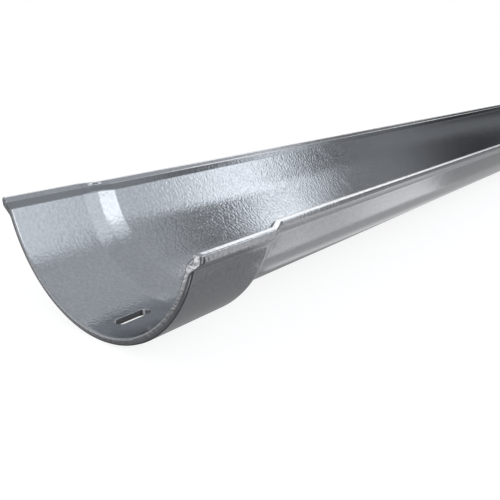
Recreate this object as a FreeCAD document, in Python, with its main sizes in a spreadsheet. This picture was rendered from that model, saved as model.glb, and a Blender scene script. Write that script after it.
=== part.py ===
import FreeCAD, Part
import math
import os
import Sketcher

# One length of socketed half round gutter, cast in one piece.
# X runs along the gutter with the socket at -X, Y across it and Z up.
# The origin is under the middle of the length, level with the sole of the socket.

doc = FreeCAD.newDocument("gutter")
sheet = doc.addObject("Spreadsheet::Sheet", "sizes")

# Lengths along the gutter
sheet.set("A1", "socket mouth to spigot end")
sheet.set("B1", "1829")
sheet.setAlias("B1", "overall_length")
sheet.set("A2", "mouth to the stop that the next spigot meets")
sheet.set("B2", "44")
sheet.setAlias("B2", "socket_depth")
sheet.set("A3", "length of the stop before the bore tapers")
sheet.set("B3", "6")
sheet.setAlias("B3", "stop_land")
sheet.set("A4", "bore taper from the stop down to the trough")
sheet.set("B4", "8")
sheet.setAlias("B4", "taper_length")
sheet.set("A5", "bevel round the outer edge of the mouth")
sheet.set("B5", "1.6")
sheet.setAlias("B5", "mouth_bevel")

# Walls of the trough and the socket, arcs about one centre line
sheet.set("A6", "inside of the trough")
sheet.set("B6", "57")
sheet.setAlias("B6", "trough_radius")
sheet.set("A7", "wall of the trough")
sheet.set("B7", "4")
sheet.setAlias("B7", "trough_wall")
sheet.set("A8", "sealant space between a spigot and the socket bore")
sheet.set("B8", "1.9")
sheet.setAlias("B8", "spigot_clearance")
sheet.set("A9", "wall of the socket")
sheet.set("B9", "3.8")
sheet.setAlias("B9", "socket_wall")
sheet.set("A10", "how far the stop stands in from the bore")
sheet.set("B10", "1.2")
sheet.setAlias("B10", "stop_height")

# Rims, whose tops lie below the centre line of the arcs and slope inward
sheet.set("A11", "centre line down to the outer edge of the trough rims")
sheet.set("B11", "10.8")
sheet.setAlias("B11", "trough_rim_drop")
sheet.set("A12", "centre line down to the outer edge of the socket rims")
sheet.set("B12", "11.1")
sheet.setAlias("B12", "socket_rim_drop")
sheet.set("A13", "how much lower the inner edge of a trough rim lies")
sheet.set("B13", "1.5")
sheet.setAlias("B13", "trough_rim_fall")
sheet.set("A14", "how much lower the inner edge of a socket rim lies")
sheet.set("B14", "2")
sheet.setAlias("B14", "socket_rim_fall")
sheet.set("A15", "width of the slope from that edge to the trough wall")
sheet.set("B15", "2.9")
sheet.setAlias("B15", "trough_facet")
sheet.set("A16", "width of the slope from that edge to the socket bore")
sheet.set("B16", "3.1")
sheet.setAlias("B16", "socket_facet")
sheet.set("A17", "height of those slopes")
sheet.set("B17", "3")
sheet.setAlias("B17", "facet_depth")

# Lips that stand out from the rims
sheet.set("A18", "how far a trough lip stands out from the wall")
sheet.set("B18", "5")
sheet.setAlias("B18", "trough_lip")
sheet.set("A19", "how far a socket lip stands out from the wall")
sheet.set("B19", "4")
sheet.setAlias("B19", "socket_lip")
sheet.set("A20", "height of the outer face of a trough lip")
sheet.set("B20", "2.6")
sheet.setAlias("B20", "trough_lip_face")
sheet.set("A21", "height of the outer face of a socket lip")
sheet.set("B21", "3.6")
sheet.setAlias("B21", "socket_lip_face")
sheet.set("A22", "how far those faces lean in")
sheet.set("B22", "0.3")
sheet.setAlias("B22", "lip_draft")
sheet.set("A23", "outer edge down to where a lip runs out in the wall")
sheet.set("B23", "8")
sheet.setAlias("B23", "lip_depth")

# Bolt slot in the sole of the socket and bolt hole in the sole of the spigot
sheet.set("A24", "overall length of the bolt slot in the bore")
sheet.set("B24", "20")
sheet.setAlias("B24", "slot_length")
sheet.set("A25", "width of the bolt slot in the bore")
sheet.set("B25", "6.4")
sheet.setAlias("B25", "slot_width")
sheet.set("A26", "how far each side of the slot spreads on its way down through the wall")
sheet.set("B26", "0.6")
sheet.setAlias("B26", "slot_draft")
sheet.set("A27", "mouth to the middle of the slot")
sheet.set("B27", "21.7")
sheet.setAlias("B27", "slot_from_mouth")
sheet.set("A28", "diameter of the hole in the spigot")
sheet.set("B28", "7")
sheet.setAlias("B28", "bolt_hole")
sheet.set("A29", "sealant gap between a spigot end and the stop")
sheet.set("B29", "3")
sheet.setAlias("B29", "joint_gap")

# Shoulder, where the outside draws in from the socket to the trough
sheet.set("A30", "stop to where the outside of the wall begins to draw in")
sheet.set("B30", "2")
sheet.setAlias("B30", "wall_lead")
sheet.set("A31", "end of the stop to where the lips are fully drawn in")
sheet.set("B31", "2.5")
sheet.setAlias("B31", "lip_run_on")
doc.recompute()



def lip_edge(outer, drop, lip):
    """How far the outer edge of a lip stands from the middle of the gutter."""
    return "(sqrt(%s ^ 2 - %s ^ 2) + %s)" % (outer, drop, lip)


# Sizes that follow from the named ones
trough_outer = "(sizes.trough_radius + sizes.trough_wall)"
socket_bore = "(%s + sizes.spigot_clearance)" % trough_outer
socket_outer = "(%s + sizes.socket_wall)" % socket_bore
stop_radius = "(%s - sizes.stop_height)" % socket_bore
trough_edge = lip_edge(trough_outer, "sizes.trough_rim_drop", "sizes.trough_lip")
socket_edge = lip_edge(socket_outer, "sizes.socket_rim_drop", "sizes.socket_lip")

# Stations measured from the mouth
wall_start = "(sizes.socket_depth + sizes.wall_lead)"
stop_end = "(sizes.socket_depth + sizes.stop_land)"
lip_end = "(%s + sizes.lip_run_on)" % stop_end
taper_end = "(%s + sizes.taper_length)" % stop_end

gutter = doc.addObject("PartDesign::Body", "gutter_length")
gutter.Label = "gutter_length"


def origin_plane(role):
    """Return one of the body's own origin planes."""
    return [plane for plane in gutter.Origin.OriginFeatures if plane.Role == role][0]


def number(expression):
    """Return what an expression comes to now, for a sketch's first shape."""
    return float(sheet.evalExpression(expression))


def between(start, end, begins, ends, station):
    """Change a size evenly between two stations and keep it level before and after them."""
    share = "max(0; min(1; (%s - %s) / (%s - %s)))" % (station, begins, ends, begins)
    return "(%s + (%s - %s) * %s)" % (start, end, start, share)


def cross_section(name, station, outer, inner, drop, fall, facet, edge, lip_face):
    """Sketch the closed section of wall and lips at a station along the gutter."""
    sketch = gutter.newObject("Sketcher::SketchObject", name)
    sketch.AttachmentSupport = (origin_plane("YZ_Plane"), "")
    sketch.MapMode = "FlatFace"
    sketch.setExpression("AttachmentOffset.Base.z", "%s - sizes.overall_length / 2" % station)

    centre_height = number(socket_outer)
    outer_now = number(outer)
    inner_now = number(inner)
    edge_z = centre_height - number(drop)
    inner_edge_z = edge_z - number(fall)
    facet_z = inner_edge_z - number("sizes.facet_depth")
    face_z = edge_z - number(lip_face)
    lip_z = edge_z - number("sizes.lip_depth")

    def on_arc(radius, z):
        return math.sqrt(radius ** 2 - (centre_height - z) ** 2)

    outline = [
        FreeCAD.Vector(on_arc(outer_now, lip_z), lip_z, 0),
        FreeCAD.Vector(number(edge) - number("sizes.lip_draft"), face_z, 0),
        FreeCAD.Vector(number(edge), edge_z, 0),
        FreeCAD.Vector(on_arc(inner_now, facet_z) + number(facet), inner_edge_z, 0),
        FreeCAD.Vector(on_arc(inner_now, facet_z), facet_z, 0),
    ]
    centre = FreeCAD.Vector(0, centre_height, 0)
    upward = FreeCAD.Vector(0, 0, 1)

    def arc_below(radius, corner):
        half = math.atan2(corner.x, centre_height - corner.y)
        down = 1.5 * math.pi
        circle = Part.Circle(centre, upward, radius)
        return sketch.addGeometry(Part.ArcOfCircle(circle, down - half, down + half))

    outer_arc = arc_below(outer_now, outline[0])
    inner_arc = arc_below(inner_now, outline[-1])
    sides = []
    for mirror in (1, -1):
        corners = [FreeCAD.Vector(mirror * corner.x, corner.y, 0) for corner in outline]
        sides.append([
            sketch.addGeometry(Part.LineSegment(first, second))
            for first, second in zip(corners, corners[1:])
        ])
    under, face, top, slope = sides[0]

    start, end, middle = 1, 2, 3
    origin, upright = -1, -2
    fix = Sketcher.Constraint
    for side, arc_tip in ((sides[0], end), (sides[1], start)):
        sketch.addConstraint(fix("Coincident", outer_arc, arc_tip, side[0], start))
        for before, after in zip(side, side[1:]):
            sketch.addConstraint(fix("Coincident", before, end, after, start))
        sketch.addConstraint(fix("Coincident", side[-1], end, inner_arc, arc_tip))
    for right, left in zip(*sides):
        sketch.addConstraint(fix("Symmetric", right, start, left, start, upright))
    sketch.addConstraint(fix("Horizontal", slope, end, sides[1][-1], end))
    sketch.addConstraint(fix("Coincident", outer_arc, middle, inner_arc, middle))

    def bind(constraint, expression):
        index = sketch.addConstraint(constraint)
        sketch.setExpression("Constraints[%d]" % index, expression)

    facet_depth = number("sizes.facet_depth")
    lip_draft = number("sizes.lip_draft")
    bind(fix("DistanceY", origin, 1, outer_arc, middle, centre_height), socket_outer)
    bind(fix("Radius", outer_arc, outer_now), outer)
    bind(fix("Radius", inner_arc, inner_now), inner)
    bind(fix("DistanceY", top, start, outer_arc, middle, centre_height - edge_z), drop)
    bind(fix("DistanceY", top, end, top, start, edge_z - inner_edge_z), fall)
    bind(fix("DistanceY", slope, end, slope, start, facet_depth), "sizes.facet_depth")
    bind(fix("DistanceX", slope, end, slope, start, number(facet)), facet)
    bind(fix("DistanceY", face, start, face, end, edge_z - face_z), lip_face)
    bind(fix("DistanceY", under, start, face, end, edge_z - lip_z), "sizes.lip_depth")
    bind(fix("DistanceX", face, start, face, end, lip_draft), "sizes.lip_draft")
    bind(fix("DistanceX", outer_arc, middle, top, start, number(edge)), edge)
    return sketch


def socket_section(name, station, bevel="0"):
    """Section of the socket, drawn in by the bevel at its mouth."""
    outer = "(%s - %s)" % (socket_outer, bevel)
    edge = lip_edge(outer, "sizes.socket_rim_drop", "sizes.socket_lip")
    return cross_section(name, station, outer, socket_bore, "sizes.socket_rim_drop",
                         "sizes.socket_rim_fall", "sizes.socket_facet", edge,
                         "sizes.socket_lip_face")


def trough_section(name, station):
    """Section of the plain trough."""
    return cross_section(name, station, trough_outer, "sizes.trough_radius",
                         "sizes.trough_rim_drop", "sizes.trough_rim_fall", "sizes.trough_facet",
                         trough_edge, "sizes.trough_lip_face")


def shoulder_section(name, station):
    """Section on the shoulder, where wall, bore and lips draw in over stretches of their own."""
    outer = between(socket_outer, trough_outer, wall_start, taper_end, station)
    inner = between(stop_radius, "sizes.trough_radius", stop_end, taper_end, station)

    def along_lip(start, end):
        return between(start, end, "sizes.socket_depth", lip_end, station)

    return cross_section(name, station, outer, inner,
                         along_lip("sizes.socket_rim_drop", "sizes.trough_rim_drop"),
                         along_lip("sizes.socket_rim_fall", "sizes.trough_rim_fall"),
                         along_lip("sizes.socket_facet", "sizes.trough_facet"),
                         along_lip(socket_edge, trough_edge),
                         along_lip("sizes.socket_lip_face", "sizes.trough_lip_face"))


def straight(name, sketch, distance):
    """Run a section straight along the gutter."""
    pad = gutter.newObject("PartDesign::Pad", name)
    pad.Profile = sketch
    pad.setExpression("Length", distance)
    return pad


def drawn(name, sketches):
    """Join sections that change from one to the next."""
    loft = gutter.newObject("PartDesign::AdditiveLoft", name)
    loft.Profile = sketches[0]
    loft.Sections = sketches[1:]
    loft.Ruled = True
    return loft


def cut_up(name, sketch, height):
    """Cut a sketch on the ground plane up through the sole."""
    pocket = gutter.newObject("PartDesign::Pocket", name)
    pocket.Profile = sketch
    pocket.Reversed = True
    pocket.setExpression("Length", height)
    return pocket


def ground_sketch(name):
    sketch = gutter.newObject("Sketcher::SketchObject", name)
    sketch.AttachmentSupport = (origin_plane("XY_Plane"), "")
    sketch.MapMode = "FlatFace"
    return sketch


# The trough, from the end of the shoulder to the spigot end
trough_start = trough_section("trough_start", taper_end)
straight("trough", trough_start, "sizes.overall_length - %s" % taper_end)

# The shoulder, which holds the stop and the taper of the bore
drawn("shoulder", [
    shoulder_section("stop_face", "sizes.socket_depth"),
    shoulder_section("wall_shoulder", wall_start),
    shoulder_section("taper_top", stop_end),
    shoulder_section("lip_shoulder", lip_end),
    trough_section("taper_foot", taper_end),
])

# The socket and its bevelled mouth
socket_rim = socket_section("socket_rim", "sizes.mouth_bevel")
straight("socket", socket_rim, "sizes.socket_depth - sizes.mouth_bevel")
drawn("mouth", [
    socket_section("mouth_face", "0", "sizes.mouth_bevel"),
    socket_section("mouth_edge", "sizes.mouth_bevel"),
])


def slot_sketch():
    """Round ended slot in the sole of the socket, at its widest on the underside."""
    sketch = ground_sketch("slot_outline")
    half_run = (number("sizes.slot_length") - number("sizes.slot_width")) / 2
    radius = number("sizes.slot_width / 2 + sizes.slot_draft")
    middle_x = number("sizes.slot_from_mouth - sizes.overall_length / 2")
    upward = FreeCAD.Vector(0, 0, 1)
    ends = []
    for side, turn in ((1, -0.5), (-1, 0.5)):
        centre = FreeCAD.Vector(middle_x + side * half_run, 0, 0)
        circle = Part.Circle(centre, upward, radius)
        first = turn * math.pi
        ends.append(sketch.addGeometry(Part.ArcOfCircle(circle, first, first + math.pi)))
    right, left = ends
    for first, second in ((right, left), (left, right)):
        line = Part.LineSegment(sketch.getPoint(first, 2), sketch.getPoint(second, 1))
        edge = sketch.addGeometry(line)
        sketch.addConstraint(Sketcher.Constraint("Tangent", first, 2, edge, 1))
        sketch.addConstraint(Sketcher.Constraint("Tangent", edge, 2, second, 1))
    sketch.addConstraint(Sketcher.Constraint("PointOnObject", right, 3, -1))
    sketch.addConstraint(Sketcher.Constraint("PointOnObject", left, 3, -1))
    for kind, parts, expression in (
        ("Radius", (right, radius), "sizes.slot_width / 2 + sizes.slot_draft"),
        ("DistanceX", (left, 3, right, 3, 2 * half_run), "sizes.slot_length - sizes.slot_width"),
        ("DistanceX", (right, 3, -1, 1, -middle_x - half_run),
         "sizes.overall_length / 2 - sizes.slot_from_mouth"
         " - (sizes.slot_length - sizes.slot_width) / 2"),
    ):
        index = sketch.addConstraint(Sketcher.Constraint(kind, *parts))
        sketch.setExpression("Constraints[%d]" % index, expression)
    return sketch


def hole_sketch():
    """Round hole in the sole near the spigot end, under the middle of the next slot."""
    sketch = ground_sketch("hole_outline")
    from_end = "(sizes.socket_depth - sizes.slot_from_mouth - sizes.joint_gap)"
    middle_x = "sizes.overall_length / 2 - %s" % from_end
    centre = FreeCAD.Vector(number(middle_x), 0, 0)
    circle = Part.Circle(centre, FreeCAD.Vector(0, 0, 1), number("sizes.bolt_hole") / 2)
    rim = sketch.addGeometry(circle)
    sketch.addConstraint(Sketcher.Constraint("PointOnObject", rim, 3, -1))
    for kind, parts, expression in (
        ("Diameter", (rim, 2 * circle.Radius), "sizes.bolt_hole"),
        ("DistanceX", (-1, 1, rim, 3, centre.x), middle_x),
    ):
        index = sketch.addConstraint(Sketcher.Constraint(kind, *parts))
        sketch.setExpression("Constraints[%d]" % index, expression)
    return sketch


# The slot closes in at its draft over the wall and half as much again above the bore
bolt_slot = cut_up("bolt_slot", slot_sketch(), "1.5 * sizes.socket_wall")
bolt_slot.setExpression("TaperAngle", "-atan(sizes.slot_draft / sizes.socket_wall)")
cut_up("spigot_hole", hole_sketch(), "%s - sizes.trough_rim_drop" % socket_outer)

doc.recompute()
for item in doc.Objects:
    if "Invalid" in item.State or "Error" in item.State:
        raise RuntimeError("%s did not build: %s" % (item.Name, item.State))
if gutter.Shape.isNull() or not gutter.Shape.isValid():
    raise RuntimeError("the gutter is not a valid solid")

os.makedirs("parts", exist_ok=True)
gutter.Shape.exportStep("parts/%s.step" % gutter.Label)
box = gutter.Shape.optimalBoundingBox()
print("volume", round(gutter.Shape.Volume), "box", box.XLength, box.YLength, box.ZLength)
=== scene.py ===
import bmesh
import bpy
import math
from mathutils import Matrix, Vector


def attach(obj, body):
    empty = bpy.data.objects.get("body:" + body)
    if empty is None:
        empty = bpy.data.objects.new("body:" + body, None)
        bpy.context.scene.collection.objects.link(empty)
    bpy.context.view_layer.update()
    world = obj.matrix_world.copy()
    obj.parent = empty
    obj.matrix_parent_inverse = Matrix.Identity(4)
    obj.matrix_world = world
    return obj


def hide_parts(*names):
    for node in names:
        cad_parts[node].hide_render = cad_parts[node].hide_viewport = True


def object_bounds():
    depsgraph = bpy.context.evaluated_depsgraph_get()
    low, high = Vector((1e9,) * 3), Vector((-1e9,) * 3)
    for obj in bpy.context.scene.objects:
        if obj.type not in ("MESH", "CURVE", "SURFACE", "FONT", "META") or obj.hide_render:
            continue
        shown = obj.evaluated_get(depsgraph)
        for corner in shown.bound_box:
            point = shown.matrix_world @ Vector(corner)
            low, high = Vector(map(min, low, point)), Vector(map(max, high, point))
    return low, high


# Looks of a socketed half round gutter length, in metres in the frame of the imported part.
# X runs along the gutter with the socket at -X, Y across it and Z up.

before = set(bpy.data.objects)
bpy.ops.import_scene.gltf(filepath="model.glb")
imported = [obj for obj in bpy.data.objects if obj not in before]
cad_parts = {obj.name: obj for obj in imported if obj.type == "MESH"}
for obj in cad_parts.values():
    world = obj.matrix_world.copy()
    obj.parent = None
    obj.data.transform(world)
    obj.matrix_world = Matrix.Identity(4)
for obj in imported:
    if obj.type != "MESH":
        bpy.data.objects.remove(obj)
cad_low, cad_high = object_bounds()

LENGTH = cad_high.x - cad_low.x
MOUTH_X = cad_low.x

# Places along the gutter, from the mouth
SOCKET_DEPTH = 0.044
WALL_START = SOCKET_DEPTH + 0.002
STOP_END = SOCKET_DEPTH + 0.006
LIP_END = STOP_END + 0.0025
TAPER_END = STOP_END + 0.008

# Edges and corners that casting and paint leave soft
MOUTH_BEVEL = 0.0016
MOUTH_INNER_ROUND = 0.0009
STOP_RISE_START = 0.0425
STOP_RISE_END = 0.0495
STOP_EASE = 0.0015
RIM_STOP_END = 0.0455
SHOULDER_EASE = 0.0008
TAPER_EASE = 0.0004
END_ROUND = 0.0005
FOOT_ROUND = 0.0016
LIP_ROUND = 0.0007
LIP_TOP_ROUND = 0.0006
RIM_ROUND = 0.0004
RIM_LEVEL = 0.0031
RIM_STRIP = 0.0009
FACET_ROUND = 0.0009
CORNER_STEPS = 4
ARC_STEPS = 72
SHOULDER_STEP = 0.0004
SHARP_ANGLE = 50

# Sections of the socket and the trough
SOCKET = {
    "outer": 0.0667,
    "inner": 0.0629,
    "rim_drop": 0.0111,
    "rim_fall": 0.002,
    "facet": 0.0031,
    "lip": 0.004,
    "lip_face": 0.0036,
}
TROUGH = {
    "outer": 0.061,
    "inner": 0.057,
    "rim_drop": 0.0108,
    "rim_fall": 0.0015,
    "facet": 0.0029,
    "lip": 0.005,
    "lip_face": 0.0026,
}
STOP_HEIGHT = 0.0012
FACET_DEPTH = 0.003
LIP_DRAFT = 0.0003
LIP_DEPTH = 0.008
AXIS_HEIGHT = SOCKET["outer"]

# Bolt slot in the socket and bolt hole in the spigot
SLOT_LENGTH = 0.020
SLOT_WIDTH = 0.0064
SLOT_DRAFT = 0.0006
SLOT_FROM_MOUTH = 0.0217
BOLT_HOLE = 0.007
JOINT_GAP = 0.003
HOLE_EDGE = 0.0004
EDGE_STEPS = 3
HOLE_STEPS = 48
PLUG_OVERHANG = 0.002

# Paint over the cast skin, with painted shade on the facets under the rims
PAINT_METALLIC = 0.96
PAINT_DARK = (0.425, 0.44, 0.46, 1)
PAINT_LIGHT = (0.505, 0.52, 0.54, 1)
PAINT_SPREAD = (0.3, 0.7)
# Painted shade: a darker base colour laid on the facets under the rims
FACET_PAINTED_SHADE = (0.31, 0.322, 0.337, 1)
PAINT_ROUGHNESS = (0.07, 0.13)
SKIN_SCALE = 620
SKIN_DETAIL = 3
SKIN_HEIGHT = 0.00022
RELIEF_INSIDE = 0.52
RELIEF_OUTSIDE = 0.18
WAVES_SCALE = 60
WAVES_DETAIL = 2
WAVES_HEIGHT = 0.0003
WAVES_STRENGTH = 0.2

# Floor, as the camera and as the light see it
FLOOR_TONE = (0.85, 0.85, 0.85, 1)
FLOOR_SEEN_TONE = (0.3, 0.3, 0.3, 1)
FLOOR_LIFT = 0.84
FLOOR_HALF_SIZE = 12

# Lamp, aimed at a place along the gutter
LAMP_TARGET_FROM_MOUTH = 0.1

# Surroundings that the metal reflects. Each tone is laid over those before it, where the parts of
# the direction, along the gutter, across it and upward, run from a first limit to a second one.
COOL = (0.96, 1.0, 1.05)
NEUTRAL = (1.0, 1.0, 1.01)
SURROUNDINGS = [
    # Overhead and in front, for the inside of socket and trough
    (COOL, 0.57, [("up", -0.02, 0.02)]),
    (COOL, 0.62, [("up", 0.7, 0.9)]),
    (COOL, 0.14, [("along", 0.645, 0.7), ("across", 0.3, 0.2), ("up", 0.82, 0.76)]),
    (COOL, 0.55, [("along", 0.48, 0.38), ("up", 0.7, 0.78)]),
    (COOL, 0.7, [("along", 0.32, 0.42), ("across", 0.5, 0.6), ("up", 0.72, 0.62)]),
    (COOL, 0.84, [("across", -0.36, -0.42), ("up", 0.6, 0.57)]),
    (COOL, 1.15, [("along", 0.6, 0.48), ("across", -0.38, -0.52), ("up", 0.85, 0.75)]),
    (COOL, 1.8, [("along", 0.665, 0.712), ("across", -0.36, -0.42), ("up", 0.59, 0.56)]),
    (COOL, 2.2, [("along", 0.735, 0.758), ("across", 0.35, 0.2), ("up", 0.0, 0.1)]),
    (COOL, 0.2, [("along", 0.78, 0.797), ("across", -0.34, -0.42)]),
    (COOL, 0.05, [("along", 0.803, 0.815)]),
    (COOL, 0.36, [("along", 0.84, 0.858)]),
    (COOL, 0.03, [("along", 0.897, 0.912)]),
    (COOL, 0.18, [("along", 0.905, 0.915), ("up", 0.29, 0.26)]),
    (COOL, 0.06, [("along", 0.905, 0.915), ("up", 0.16, 0.12)]),
    # Beyond the gutter, for the tops of the rims
    (NEUTRAL, 1.8, [("along", 0.25, 0.4), ("across", 0.2, 0.3), ("up", 0.36, 0.28)]),
    (NEUTRAL, 1.8, [
        ("along", 0.66, 0.69), ("along", 0.82, 0.78), ("across", 0.34, 0.42), ("up", 0.62, 0.56),
    ]),
    (NEUTRAL, 1.1, [
        ("along", 0.25, 0.4), ("along", 0.8, 0.76), ("across", 0.2, 0.3), ("up", 0.25, 0.21),
    ]),
    (NEUTRAL, 0.3, [("across", 0.2, 0.3), ("up", 0.165, 0.145), ("along", 0.74, 0.8)]),
    (NEUTRAL, 0.2, [("along", 0.76, 0.82), ("across", 0.15, 0.25), ("up", 0.27, 0.33)]),
    (NEUTRAL, 0.5, [("along", -0.2, -0.28), ("across", 0.25, 0.4), ("up", 0.1, 0.3)]),
    # Below the horizon, for the outside
    (NEUTRAL, 0.28, [("up", 0.02, -0.02)]),
    (NEUTRAL, 0.78, [("up", 0.02, -0.02), ("along", 0.75, 0.757)]),
    (NEUTRAL, 0.78, [("up", 0.02, -0.02), ("across", -0.2, -0.05), ("along", 0.731, 0.74)]),
    (NEUTRAL, 0.7, [("up", 0.02, -0.02), ("along", 0.785, 0.8)]),
    (NEUTRAL, 0.93, [("up", 0.02, -0.02), ("along", 0.83, 0.87)]),
    (NEUTRAL, 0.34, [("up", 0.02, -0.02), ("along", 0.905, 0.912)]),
    (NEUTRAL, 0.44, [("up", 0.02, -0.02), ("across", 0.03, 0.04), ("along", 0.731, 0.74)]),
    (NEUTRAL, 0.7, [("up", 0.02, -0.02), ("across", 0.2, 0.3), ("along", 0.731, 0.74)]),
    (NEUTRAL, 0.3, [("up", -0.16, -0.22), ("across", 0.34, 0.38)]),
    (NEUTRAL, 1.6, [("up", -0.18, -0.12), ("up", 0.1, 0.02), ("across", 0.45, 0.55)]),
    (NEUTRAL, 0.3, [("up", 0.02, -0.02), ("across", -0.28, -0.36), ("along", 0.78, 0.82)]),
    (NEUTRAL, 0.7, [("up", 0.02, -0.02), ("across", -0.3, -0.4), ("along", 0.78, 0.74)]),
    (NEUTRAL, 0.1, [("up", -0.37, -0.42), ("across", -0.4, -0.44), ("along", 0.66, 0.62)]),
    # Back past the socket, for the edge of the mouth
    (NEUTRAL, 0.18, [("up", 0.0, -0.1), ("along", -0.1, -0.3)]),
    (NEUTRAL, 0.65, [("along", -0.1, -0.3), ("across", 0.2, 0.4), ("up", -0.44, -0.34)]),
    (NEUTRAL, 0.65, [("along", -0.3, -0.45), ("across", -0.2, -0.4), ("up", 0.15, 0.05)]),
    (NEUTRAL, 0.3, [("along", -0.1, -0.3), ("across", 0.74, 0.8), ("up", 0.1, 0.0)]),
    (NEUTRAL, 0.07, [("along", -0.3, -0.15), ("along", 0.45, 0.35), ("up", -0.5, -0.6)]),
    (NEUTRAL, 1.7, [
        ("along", -0.1, -0.3), ("across", 0.8, 0.76), ("across", 0.58, 0.63), ("up", -0.35, -0.33),
        ("up", -0.2, -0.28),
    ]),
]

# Camera, placed from the near end of the socket
CAMERA_BACK = 0.13784
CAMERA_SIDE = -0.2066
CAMERA_ABOVE_AXIS = 0.05562
CAMERA_RIGHT = Vector((0.6410, -0.7675, -0.0010))
CAMERA_DOWN = Vector((-0.2437, -0.2023, -0.9485))
FOCAL_PIXELS = 583.96
IMAGE_PIXELS = 500
SENSOR = 36.0
CLIP = (0.01, 50)


def past(distance, ease):
    """How far a distance has gone past 0, with the corner at 0 rounded off."""
    if distance <= -ease:
        return 0.0
    if distance >= ease:
        return distance
    return (distance + ease) ** 2 / (4 * ease)


def share_between(from_mouth, begins, ends, first_ease, last_ease):
    """Share of an even change between two places, with softened corners."""
    gone = past(from_mouth - begins, first_ease) - past(from_mouth - ends, last_ease)
    return gone / (ends - begins)


def quarter_round(distance, radius):
    """How far a rounded edge has drawn back, a distance before its end."""
    into = 1 - min(max(distance / radius, 0.0), 1.0)
    return radius * (1 - math.sqrt(1 - into ** 2))


def lip_edge(wall):
    """How far the outer edge of a lip stands from the middle of the gutter."""
    return math.sqrt(wall["outer"] ** 2 - wall["rim_drop"] ** 2) + wall["lip"]


def bore_at(from_mouth, stop_end):
    """Radius of the bore, drawn in at the stop and again at the taper."""
    stop = share_between(from_mouth, STOP_RISE_START, stop_end, STOP_EASE, STOP_EASE)
    taper = share_between(from_mouth, STOP_END, TAPER_END, STOP_EASE, TAPER_EASE)
    stop_radius = SOCKET["inner"] - STOP_HEIGHT
    return SOCKET["inner"] - STOP_HEIGHT * stop + (TROUGH["inner"] - stop_radius) * taper


def section_at(from_mouth):
    """Sizes of the section at a distance from the mouth."""
    lips = share_between(from_mouth, SOCKET_DEPTH, LIP_END, SHOULDER_EASE, SHOULDER_EASE)
    wall = {key: SOCKET[key] + (TROUGH[key] - SOCKET[key]) * lips for key in SOCKET}
    edge = lip_edge(SOCKET) + (lip_edge(TROUGH) - lip_edge(SOCKET)) * lips
    shoulder = share_between(from_mouth, WALL_START, TAPER_END, SHOULDER_EASE, TAPER_EASE)
    wall["outer"] = SOCKET["outer"] + (TROUGH["outer"] - SOCKET["outer"]) * shoulder
    wall["inner"] = bore_at(from_mouth, STOP_RISE_END)
    wall["facet"] += bore_at(from_mouth, RIM_STOP_END) - wall["inner"]

    mouth_cut = quarter_round(from_mouth, MOUTH_BEVEL)
    end_cut = quarter_round(LENGTH - from_mouth, END_ROUND)
    wall["outer"] -= mouth_cut + end_cut
    wall["inner"] += quarter_round(from_mouth, MOUTH_INNER_ROUND) + end_cut
    wall["rim_drop"] += mouth_cut / 2 + end_cut
    wall["lip_edge"] = edge - mouth_cut - end_cut
    return wall


def stations():
    """Distances from the mouth at which the casting's section is set out."""
    bevel = [MOUTH_BEVEL * share for share in (0, 0.1, 0.3, 0.6, 1)]
    shoulder_start = STOP_RISE_START - STOP_EASE
    steps = round((TAPER_END + 2 * TAPER_EASE - shoulder_start) / SHOULDER_STEP)
    shoulder = [shoulder_start + SHOULDER_STEP * step for step in range(steps + 1)]
    spigot = [LENGTH - END_ROUND * share for share in (1, 0.5, 0.15, 0)]
    return bevel + shoulder + spigot


def section_mesh(from_mouth):
    """Face with the outline of wall and lips at a distance from the mouth, its corners softened."""
    wall = section_at(from_mouth)
    x = MOUTH_X + from_mouth
    axis = Vector((x, 0, AXIS_HEIGHT))
    edge_drop = wall["rim_drop"]
    foot_drop = edge_drop + wall["rim_fall"] + FACET_DEPTH
    run_out_drop = edge_drop + LIP_DEPTH
    inner_foot = math.sqrt(wall["inner"] ** 2 - foot_drop ** 2)
    run_out = math.sqrt(wall["outer"] ** 2 - run_out_drop ** 2)
    corners = [
        (run_out, run_out_drop, FOOT_ROUND),
        (wall["lip_edge"] - LIP_DRAFT, edge_drop + wall["lip_face"], LIP_ROUND),
        (wall["lip_edge"], edge_drop, LIP_TOP_ROUND),
        (wall["lip_edge"] - RIM_LEVEL, edge_drop, RIM_ROUND),
        (inner_foot + wall["facet"] + RIM_STRIP, edge_drop + wall["rim_fall"], RIM_ROUND),
        (inner_foot + wall["facet"], edge_drop + wall["rim_fall"], RIM_ROUND),
        (inner_foot, foot_drop, FACET_ROUND),
    ]
    section = bmesh.new()

    def wall_arc(half_width, drop):
        """Swing a point from one side of the section to the other, under the axis."""
        first = section.verts.new((x, half_width, AXIS_HEIGHT - drop))
        sweep = 2 * math.atan2(half_width, drop)
        made = bmesh.ops.spin(section, geom=[first], cent=axis, axis=(1, 0, 0), dvec=(0, 0, 0),
                              angle=-sweep, steps=ARC_STEPS, use_merge=False)
        return first, made["geom_last"][0]

    outer_ends = wall_arc(run_out, run_out_drop)
    inner_ends = wall_arc(inner_foot, foot_drop)
    rounded = []
    for side, outer_end, inner_end in zip((1, -1), outer_ends, inner_ends):
        chain = [outer_end]
        for y, drop, _ in corners[1:-1]:
            chain.append(section.verts.new((x, side * y, AXIS_HEIGHT - drop)))
        chain.append(inner_end)
        for before, after in zip(chain, chain[1:]):
            section.edges.new((before, after))
        rounded += [(corner, radius) for corner, (_, _, radius) in zip(chain, corners)]

    bmesh.ops.contextual_create(section, geom=section.edges)
    for corner, radius in rounded:
        bmesh.ops.bevel(section, geom=[corner], affect="VERTICES", offset=radius, segments=CORNER_STEPS,
                        profile=0.5, clamp_overlap=True, material=-1)
    return section


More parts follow.
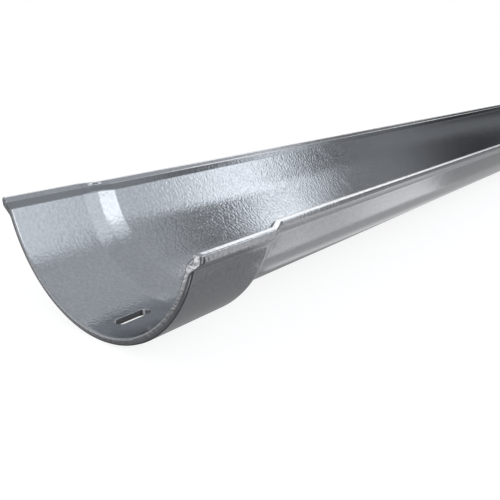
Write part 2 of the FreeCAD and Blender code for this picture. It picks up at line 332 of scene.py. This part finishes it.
def cast_shell():
    """The whole casting before its bolt holes, run from section to section."""
    casting = bmesh.new()
    carried = bpy.data.meshes.new("section")
    for from_mouth in stations():
        section = section_mesh(from_mouth)
        section.to_mesh(carried)
        section.free()
        casting.from_mesh(carried)
    bpy.data.meshes.remove(carried)

    sections = sorted(casting.faces, key=lambda face: face.calc_center_median().x)
    rings = [list(face.edges) for face in sections]
    for ring, next_ring in zip(rings, rings[1:]):
        bmesh.ops.bridge_loops(casting, edges=ring + next_ring)
    bmesh.ops.delete(casting, geom=sections[1:-1], context="FACES_ONLY")
    bmesh.ops.recalc_face_normals(casting, faces=casting.faces)
    return casting


def finished(mesh_data, name):
    """Turn a bmesh into an object of the scene."""
    mesh = bpy.data.meshes.new(name)
    mesh_data.to_mesh(mesh)
    mesh_data.free()
    piece = bpy.data.objects.new(name, mesh)
    bpy.context.scene.collection.objects.link(piece)
    return piece


def hole_plug(centre_x, length, width, draft, underside, bore, name):
    """A round ended plug, spreading downward by its draft, that leaves the hole's edges soft."""
    levels = [(underside - PLUG_OVERHANG, width / 2 + draft + HOLE_EDGE)]
    for step in range(EDGE_STEPS + 1):
        up = HOLE_EDGE * step / EDGE_STEPS
        levels.append((underside + up, width / 2 + draft + quarter_round(up, HOLE_EDGE)))
    for step in range(EDGE_STEPS, -1, -1):
        down = HOLE_EDGE * step / EDGE_STEPS
        levels.append((bore - down, width / 2 + quarter_round(down, HOLE_EDGE)))
    levels.append((bore + PLUG_OVERHANG, width / 2 + HOLE_EDGE))

    plug = bmesh.new()
    previous = []
    for z, radius in levels:
        made = bmesh.ops.create_circle(plug, segments=HOLE_STEPS, radius=radius,
                                       matrix=Matrix.Translation((0, 0, z)))
        for corner in made["verts"]:
            corner.co.x += centre_x + math.copysign((length - width) / 2, corner.co.x)
        ring = list({edge for corner in made["verts"] for edge in corner.link_edges})
        if previous:
            bmesh.ops.bridge_loops(plug, edges=previous + ring)
        else:
            bmesh.ops.contextual_create(plug, geom=ring)
        previous = ring
    bmesh.ops.contextual_create(plug, geom=previous)
    bmesh.ops.recalc_face_normals(plug, faces=plug.faces)
    return finished(plug, name)


# Casting
casting = finished(cast_shell(), "gutter_casting")
hole_x = MOUTH_X + LENGTH - (SOCKET_DEPTH - SLOT_FROM_MOUTH - JOINT_GAP)
socket_sole = AXIS_HEIGHT - SOCKET["inner"]
trough_underside = AXIS_HEIGHT - TROUGH["outer"]
trough_sole = AXIS_HEIGHT - TROUGH["inner"]
slot_plug = hole_plug(MOUTH_X + SLOT_FROM_MOUTH, SLOT_LENGTH, SLOT_WIDTH, SLOT_DRAFT,
                      0, socket_sole, "slot_plug")
bolt_plug = hole_plug(hole_x, BOLT_HOLE, BOLT_HOLE, 0,
                      trough_underside, trough_sole, "bolt_plug")
for plug in (slot_plug, bolt_plug):
    cut = casting.modifiers.new(plug.name, "BOOLEAN")
    cut.object = plug
    cut.solver = "EXACT"
evaluated = casting.evaluated_get(bpy.context.evaluated_depsgraph_get())
holed = bpy.data.meshes.new_from_object(evaluated)
casting.modifiers.clear()
casting.data = holed
for plug in (slot_plug, bolt_plug):
    bpy.data.objects.remove(plug)

for polygon in holed.polygons:
    polygon.use_smooth = True
holed.set_sharp_from_angle(angle=math.radians(SHARP_ANGLE))
weighted = casting.modifiers.new("soft_shading", "WEIGHTED_NORMAL")
weighted.keep_sharp = True


def paint_masks(nodes, links, place):
    """Where the outside under the lips is, and where the facets along the rims are, which get a painted
    shade.
    """
    from_axis = nodes.new("ShaderNodeVectorMath")
    from_axis.operation = "MULTIPLY_ADD"
    from_axis.inputs[1].default_value = (0, 1, 1)
    from_axis.inputs[2].default_value = (0, 0, -AXIS_HEIGHT)
    links.new(place.outputs["Object"], from_axis.inputs[0])
    length = nodes.new("ShaderNodeVectorMath")
    length.operation = "LENGTH"
    links.new(from_axis.outputs["Vector"], length.inputs[0])
    radius = length.outputs["Value"]
    parts = nodes.new("ShaderNodeSeparateXYZ")
    links.new(place.outputs["Object"], parts.inputs[0])
    height = parts.outputs["Z"]

    def worked_out(operation, first, second):
        """One value from two, the second of them a number or an output."""
        node = nodes.new("ShaderNodeMath")
        node.operation = operation
        links.new(first, node.inputs[0])
        if isinstance(second, float):
            node.inputs[1].default_value = second
        else:
            links.new(second, node.inputs[1])
        return node.outputs[0]

    def along_shoulder(in_socket, in_trough):
        """A size that changes from the socket to the trough along the shoulder."""
        node = nodes.new("ShaderNodeMapRange")
        node.inputs["From Min"].default_value = MOUTH_X + WALL_START
        node.inputs["From Max"].default_value = MOUTH_X + TAPER_END
        node.inputs["To Min"].default_value = in_socket
        node.inputs["To Max"].default_value = in_trough
        links.new(parts.outputs["X"], node.inputs["Value"])
        return node.outputs["Result"]

    def facet_height(share):
        """Height of the facets, from their foot to their top."""
        ends = []
        for wall in (SOCKET, TROUGH):
            top = AXIS_HEIGHT - wall["rim_drop"] - wall["rim_fall"]
            ends.append(top - FACET_DEPTH * (1 - share))
        return along_shoulder(*ends)

    mid_wall = along_shoulder(*[(wall["inner"] + wall["outer"]) / 2 for wall in (SOCKET, TROUGH)])
    past_wall = worked_out("GREATER_THAN", radius, mid_wall)
    under_lips = worked_out("LESS_THAN", height, AXIS_HEIGHT - TROUGH["rim_drop"] - LIP_DEPTH)
    outside = worked_out("MULTIPLY", past_wall, under_lips)

    # The facets under the rims, where shade is painted into the colour
    above_foot = worked_out("GREATER_THAN", height, facet_height(0))
    below_top = worked_out("LESS_THAN", height, facet_height(1))
    in_wall = worked_out("LESS_THAN", radius, along_shoulder(SOCKET["outer"], TROUGH["outer"]))
    facets = worked_out("MULTIPLY", worked_out("MULTIPLY", above_foot, below_top), in_wall)
    return outside, facets


def painted_iron():
    """Glossy silver grey paint over a finely leathered cast skin, with painted shade on the facets
    under the rims.
    """
    paint = bpy.data.materials.new("silver_grey_paint")
    paint.use_nodes = True
    nodes = paint.node_tree.nodes
    links = paint.node_tree.links
    shader = nodes["Principled BSDF"]
    shader.inputs["Metallic"].default_value = PAINT_METALLIC
    place = nodes.new("ShaderNodeTexCoord")
    outside, facets = paint_masks(nodes, links, place)

    skin = nodes.new("ShaderNodeTexNoise")
    skin.inputs["Scale"].default_value = SKIN_SCALE
    skin.inputs["Detail"].default_value = SKIN_DETAIL
    links.new(place.outputs["Object"], skin.inputs["Vector"])
    waves = nodes.new("ShaderNodeTexNoise")
    waves.inputs["Scale"].default_value = WAVES_SCALE
    waves.inputs["Detail"].default_value = WAVES_DETAIL
    links.new(place.outputs["Object"], waves.inputs["Vector"])

    tone = nodes.new("ShaderNodeValToRGB")
    tone.color_ramp.elements[0].position = PAINT_SPREAD[0]
    tone.color_ramp.elements[0].color = PAINT_DARK
    tone.color_ramp.elements[1].position = PAINT_SPREAD[1]
    tone.color_ramp.elements[1].color = PAINT_LIGHT
    links.new(skin.outputs["Fac"], tone.inputs["Fac"])
    # Painted shade: the facets under the rims take a darker base colour
    painted_facet_shade = nodes.new("ShaderNodeMix")
    painted_facet_shade.data_type = "RGBA"
    painted_facet_shade.inputs["B"].default_value = FACET_PAINTED_SHADE
    links.new(facets, painted_facet_shade.inputs["Factor"])
    links.new(tone.outputs["Color"], painted_facet_shade.inputs["A"])
    links.new(painted_facet_shade.outputs["Result"], shader.inputs["Base Color"])
    gloss = nodes.new("ShaderNodeMapRange")
    gloss.inputs["To Min"].default_value = PAINT_ROUGHNESS[0]
    gloss.inputs["To Max"].default_value = PAINT_ROUGHNESS[1]
    links.new(skin.outputs["Fac"], gloss.inputs["Value"])
    links.new(gloss.outputs["Result"], shader.inputs["Roughness"])

    waviness = nodes.new("ShaderNodeBump")
    waviness.inputs["Distance"].default_value = WAVES_HEIGHT
    waviness.inputs["Strength"].default_value = WAVES_STRENGTH
    links.new(waves.outputs["Fac"], waviness.inputs["Height"])
    bump = nodes.new("ShaderNodeBump")
    bump.inputs["Distance"].default_value = SKIN_HEIGHT
    relief = nodes.new("ShaderNodeMapRange")
    relief.inputs["To Min"].default_value = RELIEF_INSIDE
    relief.inputs["To Max"].default_value = RELIEF_OUTSIDE
    links.new(outside, relief.inputs["Value"])
    links.new(relief.outputs["Result"], bump.inputs["Strength"])
    links.new(skin.outputs["Fac"], bump.inputs["Height"])
    links.new(waviness.outputs["Normal"], bump.inputs["Normal"])
    links.new(bump.outputs["Normal"], shader.inputs["Normal"])
    return paint


paint = painted_iron()
casting.data.materials.clear()
casting.data.materials.append(paint)
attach(casting, "root")
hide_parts("gutter_length")


def studio_floor():
    """A pale floor, nearly white to the camera, that keeps the gutter's shadow."""
    ground = bmesh.new()
    bmesh.ops.create_grid(ground, x_segments=1, y_segments=1, size=FLOOR_HALF_SIZE)
    floor = finished(ground, "floor")
    pale = bpy.data.materials.new("pale_floor")
    pale.use_nodes = True
    nodes = pale.node_tree.nodes
    links = pale.node_tree.links
    shader = nodes["Principled BSDF"]
    shader.inputs["Roughness"].default_value = 1.0
    shader.inputs["Specular IOR Level"].default_value = 0.0
    path = nodes.new("ShaderNodeLightPath")
    tone = nodes.new("ShaderNodeMix")
    tone.data_type = "RGBA"
    tone.inputs["A"].default_value = FLOOR_TONE
    tone.inputs["B"].default_value = FLOOR_SEEN_TONE
    links.new(path.outputs["Is Camera Ray"], tone.inputs["Factor"])
    links.new(tone.outputs["Result"], shader.inputs["Base Color"])
    lift = nodes.new("ShaderNodeMath")
    lift.operation = "MULTIPLY"
    lift.inputs[1].default_value = FLOOR_LIFT
    links.new(path.outputs["Is Camera Ray"], lift.inputs[0])
    shader.inputs["Emission Color"].default_value = (1, 1, 1, 1)
    links.new(lift.outputs[0], shader.inputs["Emission Strength"])
    floor.data.materials.append(pale)
    floor.visible_glossy = False


studio_floor()


def softbox(name, azimuth, elevation, distance, width, height, power):
    """A rectangular lamp that faces the socket from a direction given in degrees."""
    lamp = bpy.data.lights.new(name, "AREA")
    lamp.shape = "RECTANGLE"
    lamp.size = width
    lamp.size_y = height
    lamp.energy = power
    holder = bpy.data.objects.new(name, lamp)
    azimuth = math.radians(azimuth)
    elevation = math.radians(elevation)
    level = math.cos(elevation)
    direction = Vector((level * math.cos(azimuth), level * math.sin(azimuth), math.sin(elevation)))
    target = Vector((MOUTH_X + LAMP_TARGET_FROM_MOUTH, 0, AXIS_HEIGHT))
    holder.location = target + direction * distance
    holder.rotation_mode = "QUATERNION"
    holder.rotation_quaternion = direction.to_track_quat("Z", "Y")
    holder.visible_camera = False
    bpy.context.scene.collection.objects.link(holder)


softbox("key_softbox", azimuth=-118, elevation=27, distance=2.0, width=1.4, height=0.9, power=3.4)


def studio_world():
    """Surroundings in the metal's reflections, and plain white behind the gutter."""
    world = bpy.data.worlds.new("studio")
    bpy.context.scene.world = world
    world.use_nodes = True
    nodes = world.node_tree.nodes
    links = world.node_tree.links
    background = nodes["Background"]
    place = nodes.new("ShaderNodeTexCoord")
    direction = nodes.new("ShaderNodeSeparateXYZ")
    links.new(place.outputs["Generated"], direction.inputs[0])
    parts = dict(zip(("along", "across", "up"), direction.outputs))

    def ramp(part, start, end):
        """Run from 0 to 1 as a part of the direction goes from start to end."""
        node = nodes.new("ShaderNodeMapRange")
        node.inputs["From Min"].default_value = min(start, end)
        node.inputs["From Max"].default_value = max(start, end)
        node.inputs["To Min"].default_value = float(start > end)
        node.inputs["To Max"].default_value = float(start < end)
        links.new(parts[part], node.inputs["Value"])
        return node.outputs["Result"]

    def both(first, second):
        """Share where two ramps overlap."""
        node = nodes.new("ShaderNodeMath")
        node.operation = "MULTIPLY"
        links.new(first, node.inputs[0])
        links.new(second, node.inputs[1])
        return node.outputs[0]

    def laid_over(under, colour, share):
        """Lay a colour over what is there by its share."""
        node = nodes.new("ShaderNodeMix")
        node.data_type = "RGBA"
        links.new(under, node.inputs["A"])
        node.inputs["B"].default_value = (*colour, 1)
        links.new(share, node.inputs["Factor"])
        return node.outputs["Result"]

    white = nodes.new("ShaderNodeRGB")
    white.outputs[0].default_value = (1, 1, 1, 1)
    light = white.outputs[0]
    for tint, strength, limits in SURROUNDINGS:
        share = ramp(*limits[0])
        for limit in limits[1:]:
            share = both(share, ramp(*limit))
        light = laid_over(light, [strength * part for part in tint], share)
    path = nodes.new("ShaderNodeLightPath")
    light = laid_over(light, (1, 1, 1), path.outputs["Is Camera Ray"])
    links.new(light, background.inputs["Color"])


studio_world()


def photo_camera():
    """Camera at the photograph's viewpoint."""
    lens = bpy.data.cameras.new("camera")
    lens.sensor_width = SENSOR
    lens.lens = FOCAL_PIXELS / IMAGE_PIXELS * SENSOR
    lens.clip_start, lens.clip_end = CLIP
    camera = bpy.data.objects.new("camera", lens)
    right = CAMERA_RIGHT.normalized()
    up = -(CAMERA_DOWN - right * CAMERA_DOWN.dot(right)).normalized()
    back = right.cross(up)
    place = Matrix((right, up, back)).transposed().to_4x4()
    place.translation = (MOUTH_X - CAMERA_BACK, CAMERA_SIDE, AXIS_HEIGHT + CAMERA_ABOVE_AXIS)
    camera.matrix_world = place
    bpy.context.scene.collection.objects.link(camera)
    bpy.context.scene.camera = camera


photo_camera()
bpy.context.scene.view_settings.view_transform = "Standard"
